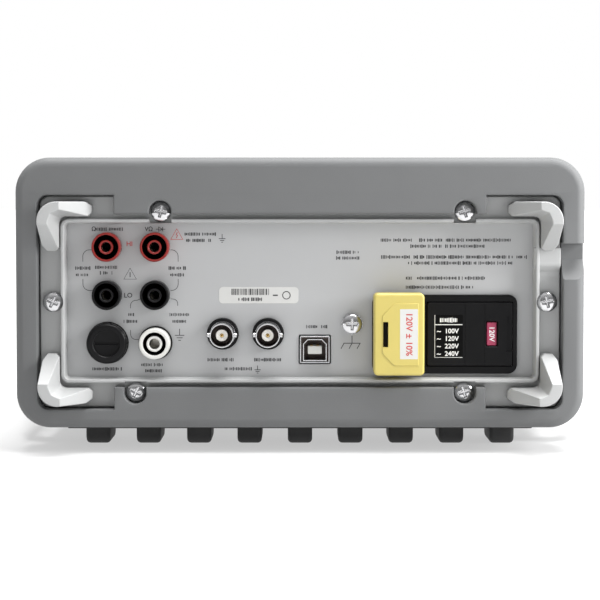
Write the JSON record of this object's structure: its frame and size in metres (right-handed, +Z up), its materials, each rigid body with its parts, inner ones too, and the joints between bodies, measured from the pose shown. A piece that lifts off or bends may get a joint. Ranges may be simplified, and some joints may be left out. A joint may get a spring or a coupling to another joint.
{
  "type": "bench multimeter",
  "caption": "Half-rack bench multimeter with rubber end bumpers, swinging carry handle, rear measuring sockets, bayonet sockets, mains inlet with fuse drawer, and corner stands.",
  "frame": {"origin": "on the floor under the middle of the object's length and width", "axes": "+Z up; the display faces -Y and the connector panel faces +Y; +X to the right when the display is read"},
  "size_m": [0.2528, 0.281, 0.1166],
  "materials": {
    "case_paint": "fine-textured light grey paint on steel",
    "panel_paint": "smooth light grey paint",
    "sheet_steel": "bare zinc-plated sheet",
    "circuit_board": "green solder mask",
    "bezel_plastic": "fine-grained light grey moulding",
    "bumper_rubber": "matt mid-grey elastomer",
    "handle_plastic": "matt mid-grey moulding",
    "grip_rubber": "matt black rubber",
    "black_plastic": "satin black moulding",
    "red_plastic": "semi-gloss red moulding",
    "white_plastic": "semi-gloss white moulding",
    "yellow_plastic": "semi-gloss yellow moulding",
    "key_plastic": "fine matt key caps",
    "plated_steel": "bright nickel plate",
    "lens": "smoked clear window",
    "fuse_glass": "glass tube with metal ends",
    "selector_card": "crimson card"
  },
  "bodies": {
    "case": {"case_sleeve": "case_paint", "chassis": "sheet_steel", "main_board": "circuit_board", "power_transformer": "sheet_steel", "rear_panel": "panel_paint", "rear_bezel": "bezel_plastic", "rear_bumper": "bumper_rubber", "front_bumper": "bumper_rubber", "input_hi_jack": "red_plastic", "sense_hi_jack": "red_plastic", "input_lo_jack": "black_plastic", "sense_lo_jack": "black_plastic", "amps_jack_collar": "black_plastic", "fuse_holder": "black_plastic", "trigger_out_socket": "plated_steel", "trigger_in_socket": "plated_steel", "usb_socket": "plated_steel", "earth_screw": "plated_steel", "power_inlet": "black_plastic", "inlet_earth_pin": "plated_steel", "inlet_line_pin": "plated_steel", "inlet_neutral_pin": "plated_steel", "pivot_pin_left": "handle_plastic", "pivot_pin_right": "handle_plastic", "front_panel": "bezel_plastic", "display_lens": "lens", "display_module": "black_plastic", "front_board": "circuit_board", "front_input_hi_jack": "red_plastic", "front_sense_hi_jack": "red_plastic", "front_input_lo_jack": "black_plastic", "front_sense_lo_jack": "black_plastic", "front_amps_jack": "white_plastic", "bezel_screw_1": "plated_steel", "bezel_screw_2": "plated_steel", "bezel_screw_3": "plated_steel", "bezel_screw_4": "plated_steel", "bezel_screw_5": "plated_steel", "bezel_screw_6": "plated_steel"},
    "handle": {"handle_frame": "handle_plastic", "handle_grip": "grip_rubber"},
    "fuse_cap": {"fuse_cap": "black_plastic", "cartridge_fuse": "fuse_glass"},
    "amps_jack": {"amps_jack": "white_plastic"},
    "fuse_drawer": {"fuse_drawer": "black_plastic", "mains_fuse": "fuse_glass", "voltage_selector": "selector_card"},
    "inlet_cover": {"inlet_cover": "yellow_plastic"},
    "power_button": {"power_button": "key_plastic"},
    "inputs_button": {"inputs_button": "key_plastic"},
    "key_01": {"key_01": "key_plastic"},
    "key_02": {"key_02": "key_plastic"},
    "key_03": {"key_03": "key_plastic"},
    "key_04": {"key_04": "key_plastic"},
    "key_05": {"key_05": "key_plastic"},
    "key_06": {"key_06": "key_plastic"},
    "key_07": {"key_07": "key_plastic"},
    "key_08": {"key_08": "key_plastic"},
    "key_09": {"key_09": "key_plastic"},
    "key_10": {"key_10": "key_plastic"}
  },
  "joints": [
    {"name": "handle_swing", "type": "hinge", "parent": "case", "child": "handle", "pos_m": [0, -0.0645, 0.0596], "axis": [-1, 0, 0], "range_deg": [0, 318]},
    {"name": "fuse_cap_twist", "type": "hinge", "parent": "case", "child": "fuse_cap", "pos_m": [0.07645, 0.1175, 0.04325], "axis": [0, 1, 0], "range_deg": [0, 60]},
    {"name": "amps_jack_twist", "type": "hinge", "parent": "case", "child": "amps_jack", "pos_m": [0.0574, 0.1175, 0.04325], "axis": [0, 1, 0], "range_deg": [0, 60]},
    {"name": "fuse_drawer_slide", "type": "slide", "parent": "case", "child": "fuse_drawer", "axis": [0, 1, 0], "range_m": [0, 0.028]},
    {"name": "inlet_cover_pull", "type": "slide", "parent": "case", "child": "inlet_cover", "axis": [0, 1, 0], "range_m": [0, 0.02]},
    {"name": "power_press", "type": "slide", "parent": "case", "child": "power_button", "axis": [0, 1, 0], "range_m": [0, 0.003], "stiffness_N_per_m": 600},
    {"name": "inputs_press", "type": "slide", "parent": "case", "child": "inputs_button", "axis": [0, 1, 0], "range_m": [0, 0.0025], "stiffness_N_per_m": 600},
    {"name": "key_01_press", "type": "slide", "parent": "case", "child": "key_01", "axis": [0, 1, 0], "range_m": [0, 0.001], "stiffness_N_per_m": 1000},
    {"name": "key_02_press", "type": "slide", "parent": "case", "child": "key_02", "axis": [0, 1, 0], "range_m": [0, 0.001], "stiffness_N_per_m": 1000},
    {"name": "key_03_press", "type": "slide", "parent": "case", "child": "key_03", "axis": [0, 1, 0], "range_m": [0, 0.001], "stiffness_N_per_m": 1000},
    {"name": "key_04_press", "type": "slide", "parent": "case", "child": "key_04", "axis": [0, 1, 0], "range_m": [0, 0.001], "stiffness_N_per_m": 1000},
    {"name": "key_05_press", "type": "slide", "parent": "case", "child": "key_05", "axis": [0, 1, 0], "range_m": [0, 0.001], "stiffness_N_per_m": 1000},
    {"name": "key_06_press", "type": "slide", "parent": "case", "child": "key_06", "axis": [0, 1, 0], "range_m": [0, 0.001], "stiffness_N_per_m": 1000},
    {"name": "key_07_press", "type": "slide", "parent": "case", "child": "key_07", "axis": [0, 1, 0], "range_m": [0, 0.001], "stiffness_N_per_m": 1000},
    {"name": "key_08_press", "type": "slide", "parent": "case", "child": "key_08", "axis": [0, 1, 0], "range_m": [0, 0.001], "stiffness_N_per_m": 1000},
    {"name": "key_09_press", "type": "slide", "parent": "case", "child": "key_09", "axis": [0, 1, 0], "range_m": [0, 0.001], "stiffness_N_per_m": 1000},
    {"name": "key_10_press", "type": "slide", "parent": "case", "child": "key_10", "axis": [0, 1, 0], "range_m": [0, 0.001], "stiffness_N_per_m": 1000}
  ]
}
